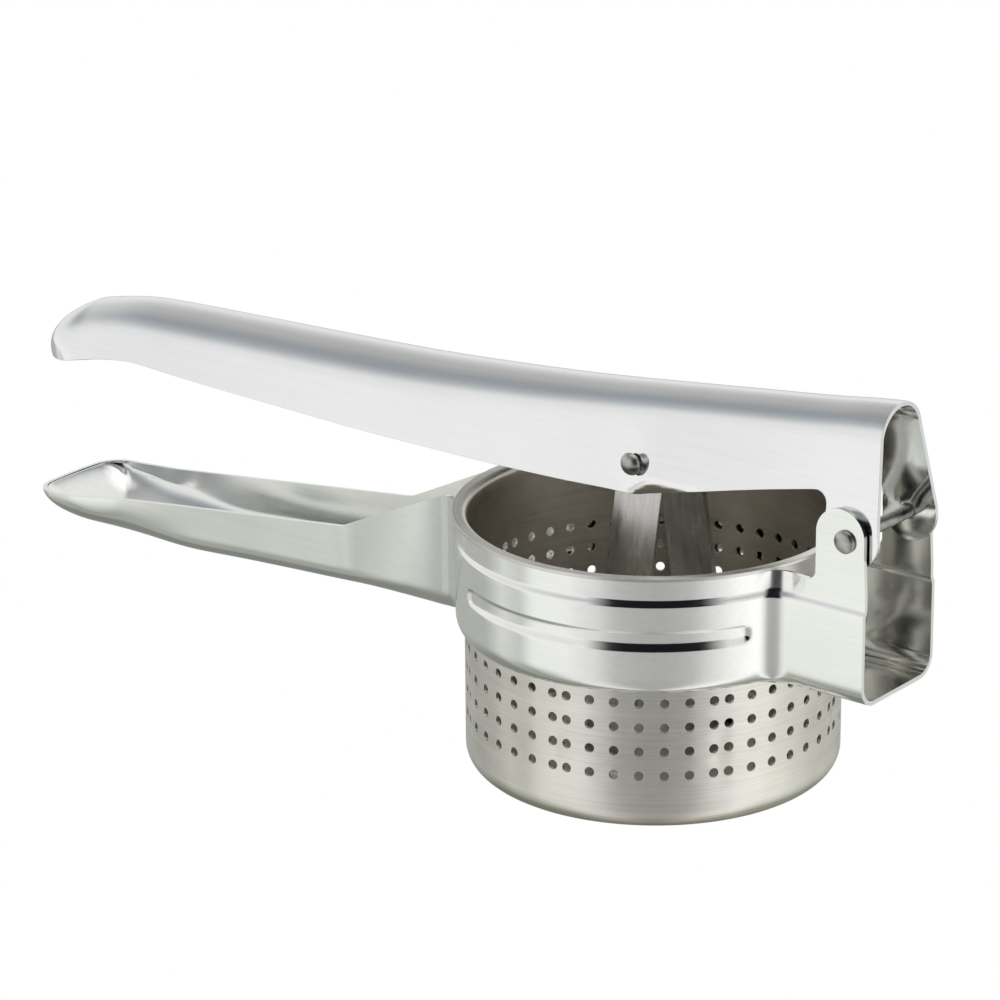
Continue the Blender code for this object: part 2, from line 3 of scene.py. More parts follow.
import bmesh
import bpy
from mathutils import Matrix, Vector
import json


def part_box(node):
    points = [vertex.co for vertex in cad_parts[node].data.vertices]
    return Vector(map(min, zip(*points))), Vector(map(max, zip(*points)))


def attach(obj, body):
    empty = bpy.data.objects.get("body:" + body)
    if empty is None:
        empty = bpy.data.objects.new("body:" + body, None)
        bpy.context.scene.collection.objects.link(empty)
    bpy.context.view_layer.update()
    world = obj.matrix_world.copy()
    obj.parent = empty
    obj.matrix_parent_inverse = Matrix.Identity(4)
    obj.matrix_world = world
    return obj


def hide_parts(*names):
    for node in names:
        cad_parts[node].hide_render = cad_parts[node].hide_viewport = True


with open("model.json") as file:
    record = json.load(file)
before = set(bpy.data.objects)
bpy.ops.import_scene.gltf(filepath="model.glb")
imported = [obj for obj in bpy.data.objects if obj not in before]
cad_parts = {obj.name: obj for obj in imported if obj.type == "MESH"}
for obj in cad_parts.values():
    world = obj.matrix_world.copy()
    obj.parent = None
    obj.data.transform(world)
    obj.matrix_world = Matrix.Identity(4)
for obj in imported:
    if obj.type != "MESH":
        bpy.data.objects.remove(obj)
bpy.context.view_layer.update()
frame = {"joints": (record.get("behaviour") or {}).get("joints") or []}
pivot = {joint["name"]: Vector(joint["pos_m"]) for joint in frame["joints"]}
hingeX, hingeZ = pivot["lever_hinge"].x, pivot["lever_hinge"].z
plungerX, plungerZ = pivot["plunger_swing"].x, pivot["plunger_swing"].z
mm = 0.001
rivetBore = {"radius": 1.85 * mm, "span": 60 * mm}  # the same through every piece a rivet joins
print("frame loaded")


# shape helpers, all in metres
def steps(start, end, count):
    return [start + (end - start) * i / count for i in range(count + 1)]


def ease(t):
    t = min(max(t, 0.0), 1.0)
    return t * t * (3 - 2 * t)


def arcPoints(center, radius, start, end, count):
    return [
        (center[0] + radius * math.cos(turn), center[1] + radius * math.sin(turn))
        for turn in steps(start, end, count)
    ]


def pathShares(points):  # how far along the path each point lies, from 0 to 1
    travelled = [0.0]
    for a, b in zip(points, points[1:]):
        travelled.append(travelled[-1] + math.dist(a, b))
    return [length / travelled[-1] for length in travelled]


def curveAt(table, x):  # smooth through (x, value) pairs, no overshoot
    if x <= table[0][0]:
        return table[0][1]
    if x >= table[-1][0]:
        return table[-1][1]
    slopes = [(b[1] - a[1]) / (b[0] - a[0]) for a, b in zip(table, table[1:])]
    tangents = [slopes[0]]
    for before, after in zip(slopes, slopes[1:]):
        tangents.append(2 * before * after / (before + after) if before * after > 0 else 0.0)
    tangents.append(slopes[-1])
    i = max(k for k, point in enumerate(table[:-1]) if point[0] <= x)
    (x0, y0), (x1, y1) = table[i], table[i + 1]
    span = x1 - x0
    t = (x - x0) / span
    value = y0 * (2 * t**3 - 3 * t**2 + 1) + y1 * (3 * t**2 - 2 * t**3)
    return value + span * (tangents[i] * (t**3 - 2 * t**2 + t) + tangents[i + 1] * (t**3 - t**2))


def softCurve(table, x, reach):  # the same, averaged over a short length so that it flows
    reach = min(reach, max(x - table[0][0], 0.0), max(table[-1][0] - x, 0.0))
    if reach <= 0:
        return curveAt(table, x)
    total = weight = 0.0
    for k in range(-4, 5):
        share = 1 - abs(k) / 5
        total += share * curveAt(table, x + reach * k / 4)
        weight += share
    return total / weight


def rowSheet(rows):  # a grid whose vertices are laid on the rows
    bm = bmesh.new()
    across, along = len(rows) - 1, len(rows[0]) - 1
    bmesh.ops.create_grid(bm, x_segments=across, y_segments=along, size=0.5)
    for vert in bm.verts:
        i = round((vert.co.x + 0.5) * across)
        j = round((vert.co.y + 0.5) * along)
        vert.co = rows[i][j]
    bmesh.ops.remove_doubles(bm, verts=bm.verts, dist=0.002 * mm)
    return bm


def spunShape(profile, count, axis=(0, 0, 1), center=(0, 0, 0)):
    bm = bmesh.new()
    verts = [bm.verts.new(point) for point in profile]
    edges = [bm.edges.new(pair) for pair in zip(verts, verts[1:])]
    bmesh.ops.spin(
        bm, geom=verts + edges, cent=center, axis=axis, angle=2 * math.pi, steps=count,
        use_merge=True,
    )
    bmesh.ops.remove_doubles(bm, verts=bm.verts, dist=0.00001)
    bmesh.ops.recalc_face_normals(bm, faces=bm.faces)
    return bm


def faceOutward(bm, way):  # the face furthest along the way looks along it
    way = Vector(way)
    bmesh.ops.recalc_face_normals(bm, faces=bm.faces)
    furthest = max(bm.faces, key=lambda face: face.calc_center_median().dot(way))
    if furthest.normal.dot(way) < 0:
        bmesh.ops.reverse_faces(bm, faces=bm.faces)


def addObject(name, bm):
    mesh = bpy.data.meshes.new(name)
    bm.to_mesh(mesh)
    bm.free()
    item = bpy.data.objects.new(name, mesh)
    bpy.context.scene.collection.objects.link(item)
    return item


def makePiece(name, bm, material, body, node):
    piece = addObject(name, bm)
    piece.data.materials.append(material)
    piece.data.shade_smooth()
    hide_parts(node)
    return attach(piece, body)


def mirrorHalf(piece):
    mirror = piece.modifiers.new("otherSide", "MIRROR")
    mirror.use_axis = (False, True, False)
    mirror.merge_threshold = 0.00002


def thicken(piece, thickness):
    solid = piece.modifiers.new("sheet", "SOLIDIFY")
    solid.thickness = thickness
    solid.offset = -1.0


def roundEdges(piece, width, segments=2, angle=50):
    bevel = piece.modifiers.new("edges", "BEVEL")
    bevel.width = width
    bevel.segments = segments
    bevel.limit_method = "ANGLE"
    bevel.angle_limit = math.radians(angle)
    bevel.harden_normals = True


def cutHole(piece, name, radius, depth, place, axis):
    bm = bmesh.new()
    turn = Vector(axis).to_track_quat("Z", "Y").to_matrix().to_4x4()
    bmesh.ops.create_cone(
        bm, cap_ends=True, segments=64, radius1=radius, radius2=radius, depth=depth,
        matrix=Matrix.Translation(place) @ turn,
    )
    cutter = addObject(name, bm)
    boolean = piece.modifiers.new(name, "BOOLEAN")
    boolean.object = cutter
    boolean.solver = "EXACT"
    return cutter


def boreAcross(piece, name, x, z):
    return cutHole(piece, name, rivetBore["radius"], rivetBore["span"], (x, 0, z), (0, 1, 0))


def applyAll(piece, cutters=()):
    bpy.context.view_layer.update()
    evaluated = piece.evaluated_get(bpy.context.evaluated_depsgraph_get())
    mesh = bpy.data.meshes.new_from_object(evaluated)
    piece.modifiers.clear()
    piece.data = mesh
    for cutter in cutters:
        bpy.data.objects.remove(cutter)


# finishes
def addNode(tree, kind, settings=None, **values):
    node = tree.nodes.new(kind)
    for key, value in values.items():
        setattr(node, key, value)
    for key, value in (settings or {}).items():
        node.inputs[key].default_value = value
    return node


def ramp(tree, source, stops):
    node = addNode(tree, "ShaderNodeValToRGB")
    elements = node.color_ramp.elements
    while len(elements) < len(stops):
        elements.new(0.5)
    for element, (place, value) in zip(elements, stops):
        element.position = place
        color = value if isinstance(value, tuple) else (value, value, value)
        element.color = (*color, 1)
    tree.links.new(source, node.inputs[0])
    return node.outputs[0]


def blend(tree, share, first, second, how="MIX"):
    node = addNode(tree, "ShaderNodeMix", data_type="RGBA", blend_type=how)
    for value, socket in ((share, 0), (first, 6), (second, 7)):
        if isinstance(value, float):
            node.inputs[socket].default_value = value
        elif isinstance(value, tuple):
            node.inputs[socket].default_value = (*value, 1)
        else:
            tree.links.new(value, node.inputs[socket])
    return node.outputs[2]


def metal(name, finish):
    material = bpy.data.materials.new(name)
    material.use_nodes = True
    tree = material.node_tree
    link = tree.links.new
    shader = tree.nodes["Principled BSDF"]
    shader.inputs["Metallic"].default_value = 1.0
    where = addNode(tree, "ShaderNodeTexCoord").outputs["Object"]
    if finish.get("turned"):  # brushing runs round the axis, on walls and on flats
        split = addNode(tree, "ShaderNodeSeparateXYZ")
        flat = addNode(tree, "ShaderNodeVectorMath", {1: (1, 1, 0)}, operation="MULTIPLY")
        reach = addNode(tree, "ShaderNodeVectorMath", operation="LENGTH")
        rise = addNode(tree, "ShaderNodeMath", operation="ADD")
        join = addNode(tree, "ShaderNodeCombineXYZ")
        link(where, split.inputs[0])
        link(where, flat.inputs[0])
        link(flat.outputs[0], reach.inputs[0])
        link(split.outputs["Z"], rise.inputs[0])
        link(reach.outputs["Value"], rise.inputs[1])
        link(split.outputs["X"], join.inputs["X"])
        link(split.outputs["Y"], join.inputs["Y"])
        link(rise.outputs[0], join.inputs["Z"])
        base = join.outputs[0]
    else:
        base = where
    stretch = addNode(tree, "ShaderNodeMapping", {"Scale": finish["brush"]})
    lines = addNode(tree, "ShaderNodeTexNoise", {"Scale": 1.0, "Detail": 4.0, "Roughness": 0.65})
    clouds = addNode(tree, "ShaderNodeTexNoise", {"Scale": finish["cloud"], "Detail": 3.0})
    link(base, stretch.inputs["Vector"])
    link(stretch.outputs[0], lines.inputs["Vector"])
    link(where, clouds.inputs["Vector"])
    mixed = addNode(tree, "ShaderNodeMath", {1: 0.5}, operation="MULTIPLY_ADD")
    link(lines.outputs[0], mixed.inputs[0])
    half = addNode(tree, "ShaderNodeMath", {1: 0.5}, operation="MULTIPLY")
    link(clouds.outputs[0], half.inputs[0])
    link(half.outputs[0], mixed.inputs[2])
    color = ramp(tree, mixed.outputs[0], [(0.36, finish["dark"]), (0.62, finish["light"])])
    if finish.get("inside"):  # painted shade: within this distance of the axis the colour is darkened, standing in for the shade inside the basket
        insideShadeMask = addNode(
            tree, "ShaderNodeMapRange",
            {"From Min": finish["inside"] + 0.1 * mm, "From Max": finish["inside"] - 0.1 * mm},
        )
        link(reach.outputs["Value"], insideShadeMask.inputs["Value"])
        color = blend(tree, insideShadeMask.outputs[0], color, finish["paintedShade"], "MULTIPLY")
    link(color, shader.inputs["Base Color"])
    low, high = finish["rough"]
    rough = addNode(
        tree, "ShaderNodeMapRange",
        {"From Min": 0.3, "From Max": 0.7, "To Min": low, "To Max": high},
    )
    link(mixed.outputs[0], rough.inputs["Value"])
    link(rough.outputs[0], shader.inputs["Roughness"])
    grain = addNode(tree, "ShaderNodeBump", {"Strength": finish["grain"], "Distance": 0.00002})
    wave = addNode(tree, "ShaderNodeBump", {"Strength": finish["wave"], "Distance": 0.0003})
    slow = addNode(tree, "ShaderNodeTexNoise", {"Scale": finish["waveScale"], "Detail": 1.0})
    link(where, slow.inputs["Vector"])
    link(lines.outputs[0], grain.inputs["Height"])
    link(slow.outputs[0], wave.inputs["Height"])
    link(wave.outputs[0], grain.inputs["Normal"])
    link(grain.outputs[0], shader.inputs["Normal"])
    shader.inputs["Anisotropic"].default_value = finish.get("aniso", 0.0)
    shader.inputs["Anisotropic Rotation"].default_value = 0.25  # rough across the brushing
    if finish.get("turned"):
        around = addNode(tree, "ShaderNodeTangent", direction_type="RADIAL", axis="Z")
        link(around.outputs[0], shader.inputs["Tangent"])
    return material


leverFinish = {
    "brush": (30, 900, 900), "cloud": 45, "dark": (0.89, 0.90, 0.895), "light": (0.94, 0.945, 0.935),
    "rough": (0.06, 0.12), "grain": 0.03, "wave": 0.05, "waveScale": 70,
}
frameFinish = {
    "brush": (30, 900, 900), "cloud": 60, "dark": (0.87, 0.88, 0.855), "light": (0.94, 0.945, 0.92),
    "rough": (0.10, 0.16), "grain": 0.05, "wave": 0.10, "waveScale": 80,
}
# the basket's last two entries paint shade: within that radius of the axis the colour is darkened,
# standing in for the shade inside the cup
basketFinish = {
    "turned": True, "brush": (22, 22, 2600), "cloud": 70, "dark": (0.68, 0.66, 0.605),
    "light": (0.89, 0.87, 0.81), "rough": (0.25, 0.34), "grain": 0.32, "wave": 0.05,
    "waveScale": 60, "aniso": 0.8, "inside": 42.2 * mm, "paintedShade": (0.82, 0.79, 0.74),
}
# painted shade: the plate is the basket's steel with darker colours, standing in for the shade it sits
# in inside the basket
shadedPlateFinish = dict(basketFinish, dark=(0.48, 0.47, 0.44), light=(0.68, 0.66, 0.63), inside=0)
yokeFinish = {
    "brush": (900, 900, 30), "cloud": 90, "dark": (0.50, 0.49, 0.47), "light": (0.74, 0.73, 0.71),
    "rough": (0.18, 0.32), "grain": 0.15, "wave": 0.12, "waveScale": 90,
}
rivetFinish = {
    "brush": (500, 500, 500), "cloud": 350, "dark": (0.36, 0.35, 0.33), "light": (0.62, 0.61, 0.58),
    "rough": (0.25, 0.42), "grain": 0.25, "wave": 0.10, "waveScale": 500,
}
leverSteel = metal("leverSteel", leverFinish)
frameSteel = metal("frameSteel", frameFinish)
basketSteel = metal("basketSteel", basketFinish)
shadedPlateSteel = metal("shadedPlateSteel", shadedPlateFinish)
yokeSteel = metal("yokeSteel", yokeFinish)
rivetSteel = metal("rivetSteel", rivetFinish)
print("finishes made")

# upper handle: pressed channel lever, open below and behind, closed and turned down at its end
lever = {
    "end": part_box("upper_handle")[0].x, "crown": 98.1 * mm, "sheet": 1.0 * mm, "edge": 0.22 * mm,
    "halfWidth": 12.0 * mm, "rearHalfWidth": 11.8 * mm, "endCorner": 9.0 * mm, "curl": 104,
    "endNarrower": 0.4 * mm, "endRun": 5.0 * mm, "crownSteps": 12, "wallSteps": 18, "crownCurl": 0.66,
    "gripCrownRadius": 9.8 * mm, "rearCrownRadius": 8.0 * mm, "lobe": 6.88 * mm, "notch": 3.0 * mm,
    "skirt": 2.5 * mm, "lobeShift": 0.3 * mm, "crownReach": 7.0 * mm,
    "topMap": ((0.16, 0.0550), (0.26, 0.0572), (0.62, 0.0617), (1, 0.06486)),
    "crownDown": (
        (0, 22.8), (4, 21.9), (8, 21.0), (15, 19.3), (21.5, 18.0), (28, 17.0), (36, 16.5),
        (54, 15.8), (91, 14.5), (115, 13.5), (138, 11.9), (161, 9.9), (183, 7.4), (204.5, 4.8),
        (225.4, 2.3), (241, 0.1), (246, -0.2),
    ),
    "edgeDown": (
        (0, 9.6), (3, 10.4), (8, 10.2), (13.7, 9.0), (19.8, 7.6), (26.4, 6.6), (32.4, 6.1),
        (39.3, 6.4), (51, 6.9), (80, 7.7), (107.5, 8.3), (134.4, 8.35), (159, 7.9), (173, 7.3),
        (180.8, 7.0), (186.6, 5.7), (202, 2.0), (215, -1.0), (228.5, -3.9),
    ),
}
crownTable = [(lever["end"] + x * mm, lever["crown"] - d * mm) for x, d in lever["crownDown"]]
edgeTable = [(lever["end"] + x * mm, plungerZ - d * mm) for x, d in lever["edgeDown"]]
leverEndHalf = lever["halfWidth"] - lever["endNarrower"]
leverStart = lever["end"] + lever["endCorner"] + lever["endRun"]  # the end piece lies before this
widthTable = [
    (lever["end"] + 15 * mm, leverEndHalf),
    (lever["end"] + 60 * mm, lever["halfWidth"]),
    (plungerX - 30 * mm, lever["halfWidth"] + 0.2 * mm),
    (hingeX - 20 * mm, lever["rearHalfWidth"]),
]


def leverCrown(x):
    return softCurve(crownTable, x, lever["crownReach"])


def leverWall(x, width):  # crown radius, tangent turn and bend height of the section at x
    rear = ease((x - plungerX + 4 * mm) / (10 * mm))
    bend = (hingeZ + lever["skirt"]) * rear + (curveAt(edgeTable, x) - 1 * mm) * (1 - rear)
    mix = ease((x - lever["end"] - 90 * mm) / (110 * mm))
    radius = lever["gripCrownRadius"] * (1 - mix) + lever["rearCrownRadius"] * mix
    radius = min(radius, 0.94 * width)
    down = leverCrown(x) - bend - radius
    tangent = math.acos(radius / math.hypot(width, down)) + math.atan2(-down, width)
    return radius, tangent, bend


def wallOut(x, z, width):  # how far out the wall stands at height z
    radius, tangent, bend = leverWall(x, width)
    top = leverCrown(x) - radius + radius * math.sin(tangent)
    out = radius * math.cos(tangent)
    share = (top - z) / (top - bend)
    return out + (width - out) * min(share, 1.0)


def leverOutlineBelow():  # lower edge and lobe in side view, as (x, z), from the notch to the rear edge
    middle, low = hingeX + lever["lobeShift"], hingeZ + lever["lobeShift"]
    corner = middle - lever["lobe"] - lever["notch"]
    high = curveAt(edgeTable, corner)
    points = arcPoints((corner, high - lever["notch"]), lever["notch"], math.pi / 2, 0, 8)
    front = corner + lever["notch"]
    points += [(front, z) for z in steps(high - lever["notch"], low, 5)[1:]]
    around = arcPoints((middle, low), lever["lobe"], math.pi, 2 * math.pi, 28)
    return points + around[1:]


def leverRow(x, y, bottom, topX):
    spine = max(topX, leverStart)
    width = max(y, leverEndHalf) if topX < leverStart else y
    radius, tangent = leverWall(topX, width)[:2]
    crown = leverCrown(topX)
    crownSteps, wallSteps, crownCurl = lever["crownSteps"], lever["wallSteps"], lever["crownCurl"]
    row = []
    for turn in steps(math.pi / 2, tangent, crownSteps):
        out, z = radius * math.cos(turn), crown - radius + radius * math.sin(turn)
        row.append((out, z, 0.0))
    out, z = row[-1][:2]
    for t in steps(0.0, 1.0, wallSteps)[1:]:
        level = z + (bottom[1] - z) * t
        here = topX + (bottom[0] - topX) * t
        row.append((wallOut(here, level, width), level, here - topX))
    points = []
    cap = ease((leverStart - topX) / (leverStart - lever["end"]))
    curl = math.radians(lever["curl"])
    for k, (out, level, shift) in enumerate(row):
        share = out / width
        fall = (crown - level) / (crown - bottom[1])
        along = crownCurl * min(k / crownSteps, 1.0)
        turn = curl * (along + (1 - crownCurl) * max(k - crownSteps, 0) / wallSteps)
        share += (math.sin(turn) - share) * cap  # the end curls down and a little under
        fall += ((1 - math.cos(turn)) / (1 - math.cos(curl)) - fall) * cap
        px = spine + (x - spine) * share + shift
        if topX < leverStart:  # the end wall follows the crown line down
            level = leverCrown(px) - (leverCrown(px) - bottom[1]) * fall
        points.append((px, -y * share, level))
    return points


def buildLever():
    end, corner, side = lever["end"], lever["endCorner"], leverEndHalf
    plan = [(end, y) for y in steps(0, side - corner, 4)[:-1]]
    plan += arcPoints((end + corner, side - corner), corner, math.pi, math.pi / 2, 22)
    below = leverOutlineBelow()
    for x in steps(end + corner + 1.5 * mm, below[0][0], 150):
        plan.append((x, max(curveAt(widthTable, x), side)))
    rows = [leverRow(x, y, (x, curveAt(edgeTable, x)), x) for x, y in plan]
    topMap = ((0, below[0][0]), *lever["topMap"])
    for share, point in list(zip(pathShares(below), below))[1:]:
        top = curveAt(topMap, share)
        rows.append(leverRow(top, curveAt(widthTable, top), point, top))
    bm = rowSheet(rows)
    faceOutward(bm, (0, 0, 1))
    piece = makePiece("upperHandle", bm, leverSteel, "lever", "upper_handle")
    mirrorHalf(piece)
    thicken(piece, lever["sheet"])
    roundEdges(piece, lever["edge"])
    cutters = [
        boreAcross(piece, "hingeBore", hingeX, hingeZ),
        boreAcross(piece, "plungerBore", plungerX, plungerZ),
    ]
    applyAll(piece, cutters)
    return piece


buildLever()
print("upper handle made")

# lower frame: one pressing, from the open grip through the flare and ring to the hinge ears
lowerFrame = {
    "sheet": 1.0 * mm, "edge": 0.2 * mm, "ringRadius": 44.5 * mm, "ringTop": 59.1 * mm,
    "floor": 31.2 * mm, "corner": 5.0 * mm, "endCorner": 7.4 * mm, "bowl": 7.0 * mm,
    "gripHalf": 13.2 * mm, "endHalf": 14.9 * mm, "gripLength": 134.2 * mm, "knee": 35.8 * mm,
    "kneeHeight": 41.8 * mm, "endHeight": 31.2 * mm, "gripFloor": 23.4 * mm, "frontFillet": 12.0 * mm,
    "draft": 0.09,
    "fullness": 2.45, "fan": 17.0 * mm, "spoonRun": 40.0 * mm, "floorReach": 3.0 * mm,
    "backFillet": 6.0 * mm, "bracketHalf": 14.0 * mm, "bracketEnd": 65.3 * mm,
    "step": (4.2 * mm, 6.0 * mm, 0.62 * mm), "groove": (11.4, 12.3, 14.2, 16.6),
    "grooveDepth": 0.6 * mm, "grooveEnds": (-25.5, -121.5), "earRadius": 6.15 * mm,
    "earFoot": 2.0 * mm, "lean": 0.95 * mm, "leanReach": 5.0 * mm, "dentLimit": 44.4 * mm,
    "basketHole": 43.1 * mm, "tipShift": 0.29 * mm, "flareLean": 33,
    "levels": ((17, 6), (14, 12), (12.4, 3), (11.2, 5), (6, 4), (4.2, 8)), "topSteps": 10,
    "baseMap": ((0.07, 0.0536), (0.26, 0.0560), (0.73, 0.0625), (0.80, 0.0635)),
}
ringFront = -lowerFrame["ringRadius"]
gripEnd = ringFront - lowerFrame["gripLength"]
kneeX = ringFront - lowerFrame["knee"]
fanX = gripEnd + lowerFrame["fan"]  # the end's rows fan out from here
frameWidthTable = [
    (gripEnd, lowerFrame["endHalf"]), (gripEnd + 13 * mm, lowerFrame["endHalf"]),
    (gripEnd + 26 * mm, lowerFrame["gripHalf"] + 0.2 * mm),
    (gripEnd + 50 * mm, lowerFrame["gripHalf"]), (kneeX, lowerFrame["gripHalf"]),
    (ringFront - 26.5 * mm, lowerFrame["gripHalf"] + 0.7 * mm),
    (ringFront - 16.5 * mm, lowerFrame["gripHalf"] + 2.0 * mm),
    (ringFront - 6.5 * mm, lowerFrame["gripHalf"] + 4.0 * mm),
    (ringFront + 0.5 * mm, lowerFrame["gripHalf"] + 6.2 * mm),
]
frameTopTable = [
    (gripEnd - 1 * mm, lowerFrame["endHeight"] - 0.7 * mm),
    (gripEnd + 9 * mm, lowerFrame["endHeight"] - 0.3 * mm),
    (gripEnd + 30 * mm, lowerFrame["endHeight"] + 2.3 * mm),
    (gripEnd + 62 * mm, lowerFrame["endHeight"] + 6.2 * mm), (kneeX, lowerFrame["kneeHeight"]),
]
frameFloorTable = [
    (gripEnd + x * mm, lowerFrame["gripFloor"] + rise * mm) for x, rise in (
        (0, 3.4), (4.5, 1.5), (8, 0.3), (12, -0.6), (17, -0.9), (24, -0.9), (34, -0.5), (50, 0.2),
        (66, 1.3), (80, 2.1), (98.4, 3.1), (114.2, 4.3),
    )
] + [
    (ringFront - 5 * mm, lowerFrame["floor"] - 1.7 * mm), (ringFront + 6 * mm, lowerFrame["floor"]),
    (-ringFront, lowerFrame["floor"] + 0.8 * mm),
]


def frameTop(x):
    top, edge = lowerFrame["ringTop"], ringFront
    if x < kneeX:
        return curveAt(frameTopTable, x)
    rise = (top - lowerFrame["kneeHeight"]) * (x - kneeX) / (edge - kneeX)
    return min(lowerFrame["kneeHeight"] + rise, top)


def frameFloor(x):
    return softCurve(frameFloorTable, x, lowerFrame["floorReach"])


def framePlan():
    corner = lowerFrame["endCorner"]
    center = (gripEnd + corner - lowerFrame["tipShift"], lowerFrame["endHalf"] - corner)
    arc = arcPoints(center, corner, math.pi * 0.975, math.pi / 2, 22)
    bulge = 0.5 * arc[0][1] * math.tan(math.pi * 0.025)
    plan = [(arc[0][0] - bulge * (1 - t * t), arc[0][1] * t) for t in steps(0, 1, 7)[:-1]] + arc
    start = gripEnd + corner + 1.5 * mm
    plan += [(x, softCurve(frameWidthTable, x, 4 * mm)) for x in steps(start, kneeX, 70)]
    last = ringFront - 1 * mm
    plan += [(x, softCurve(frameWidthTable, x, 4 * mm)) for x in steps(kneeX, last, 40)[1:]]
    front = lowerFrame["ringRadius"] + lowerFrame["frontFillet"]
    lean = math.radians(lowerFrame["flareLean"])
    middle = (-front * math.cos(lean), front * math.sin(lean))
    plan += arcPoints(middle, lowerFrame["frontFillet"], math.radians(-72), -lean, 12)
    back = lowerFrame["ringRadius"] + lowerFrame["backFillet"]
    rise = lowerFrame["bracketHalf"] + lowerFrame["backFillet"]
    run = math.sqrt(back**2 - rise**2)
    turn = math.atan2(rise, run)
    plan += arcPoints((0, 0), lowerFrame["ringRadius"], math.pi - lean, turn, 150)[1:]
    fillet = arcPoints((run, rise), lowerFrame["backFillet"], math.pi + turn, 1.5 * math.pi, 16)[1:]
    filletStart = len(plan)
    plan += fillet
    return plan, filletStart, run


def grooveShare(x, y):  # 1 along the groove, 0 past its rounded ends
    along = -math.atan2(y, x) * lowerFrame["ringRadius"]
    first, last = [math.radians(-a) * lowerFrame["ringRadius"] for a in lowerFrame["grooveEnds"]]
    return min(-along - first, last + along)


def bandOffset(drop, x, y, fade, lean):  # drop is the distance below the ring's top
    high, upper, lower, low = [value * mm for value in lowerFrame["groove"]]
    end = grooveShare(x, y)
    middle, half = (high + low) / 2, (low - high) / 2
    reach = min(max(end, 0.0), half)
    squeeze = math.sqrt(max(1 - (1 - reach / half) ** 2, 0.0)) if end > 0 else 0.0
    place = (drop - middle) / max(squeeze, 0.05) + middle
    strength = ease(end / (1.2 * mm)) * min(squeeze * 1.6, 1.0)
    cut = ease((place - high) / (upper - high)) * ease((low - place) / (low - lower)) * strength
    first, last, depth = lowerFrame["step"]
    above = ease((last - drop) / (last - first))
    tilt = max(last - drop, 0.0) / last * lean
    return -cut * lowerFrame["grooveDepth"] - above * depth * fade - tilt


def earOutline():  # side view of the ear from its foot round to the bracket's rear edge
    foot, radius = lowerFrame["earFoot"], lowerFrame["earRadius"]
    middle, top, level = hingeX - 1.35 * mm, lowerFrame["ringTop"], hingeZ + 0.9 * mm
    front = middle - radius
    points = arcPoints((front - foot, top + foot), foot, -math.pi / 2, 0, 6)
    points += [(front, z) for z in steps(top + foot, level, 10)[1:]]
    points += arcPoints((middle, level), radius, math.pi, 0, 32)[1:]
    back = middle + radius
    points += [(back, z) for z in steps(level, hingeZ - 3 * mm, 3)[1:]]
    end = lowerFrame["bracketEnd"]
    return points + [
        (back + (end - back) * t, hingeZ - 3 * mm - 9 * mm * t) for t in steps(0, 1, 8)[1:]
    ]


def drawIn(row, x, y, amount):  # the same points, drawn in to a rounder section
    hub, high = max(x, fanX), frameTop(x)
    size = math.hypot(x - hub, y)
    power = lowerFrame["fullness"]
    rounder = []
    for px, py, pz in row:
        out = math.hypot(px - hub, py) / size
        down = (high - pz) / (high - frameFloor(px))
        turn = math.atan2(out, down)
        ring = (math.sin(turn) ** power + max(math.cos(turn), 0.0) ** power) ** (-1 / power)
        out += (min(ring * math.sin(turn), 1.0) - out) * amount
        down += (ring * math.cos(turn) - down) * amount
        px = hub + (x - hub) * out
        rounder.append((px, -y * out, high - (high - frameFloor(px)) * down))
    return rounder


def frameRow(x, y, normal, lean=0.0, topPoint=None):
    nx, ny = normal
    top = lowerFrame["ringTop"]
    corner = lowerFrame["bowl"]
    corner += (lowerFrame["corner"] - corner) * ease((x - fanX) / (30 * mm))
    if x < fanX:
        reach = math.hypot(x - fanX, y)
        nx, ny = (x - fanX) / reach, y / reach
    spine = fanX if x < fanX else x - nx * corner
    floor = frameFloor(x - nx * corner)
    rise = min(corner, 0.6 * (frameTop(x) - floor))
    narrow = lowerFrame["draft"] * (1 - ease((x - kneeX) / (36 * mm)))
    draft = narrow * (frameTop(x) - floor - rise)
    foot = (x - nx * (corner + draft), y - ny * (corner + draft))
    row = []
    for t in steps(0, 1, 6)[:-1]:
        px = spine + (foot[0] - spine) * t
        row.append((px, -foot[1] * t, frameFloor(px)))
    for turn in steps(0, math.pi / 2, 10):
        inset = draft + corner * (1 - math.sin(turn))
        up = floor + rise * (1 - math.cos(turn))
        row.append((x - nx * inset, -(y - ny * inset), up))
    low = floor + rise
    base = lowerFrame["floor"] + lowerFrame["corner"]
    fade = ease((x - ringFront - 2 * mm) / (7 * mm))
    bands = ease((x - kneeX) / (25 * mm))  # 0 along the grip, where the rows are just spaced out

    def levelAt(share, index):
        plain = 1 - math.sqrt(max(1 - index / count, 0.0))
        return low + (frameTop(x) - low) * (share * bands + plain * (1 - bands))

    drops = [top - base]
    for down, parts in lowerFrame["levels"]:
        drops += steps(drops[-1], down * mm, parts)[1:]
    last = len(drops) - 1
    count = last + lowerFrame["topSteps"]
    for index, drop in list(enumerate(drops))[1:]:
        level = levelAt((top - drop - base) / (top - base), index)
        offset = bandOffset(drop, x, y, fade, lean) - narrow * (frameTop(x) - level)
        row.append((x + nx * offset, -(y + ny * offset), level))
    topX, topZ = topPoint or (x, frameTop(x))
    fromZ = row[-1][2]
    for k, t in list(enumerate(steps(0, 1, lowerFrame["topSteps"])))[1:]:
        drop = drops[-1] * (1 - t)
        offset = bandOffset(drop, x, y, fade, lean)
        px, pz = x + (topX - x) * t, fromZ + (topZ - fromZ) * t
        if not topPoint:
            pz = levelAt((top - drop - base) / (top - base), last + k)
            offset -= narrow * (frameTop(x) - pz)
        row.append((px + nx * offset, -(y + ny * offset), pz))
    spoon = 1 - ease((x - fanX + 6 * mm) / lowerFrame["spoonRun"])
    return drawIn(row, x, y, spoon) if spoon > 0 else row


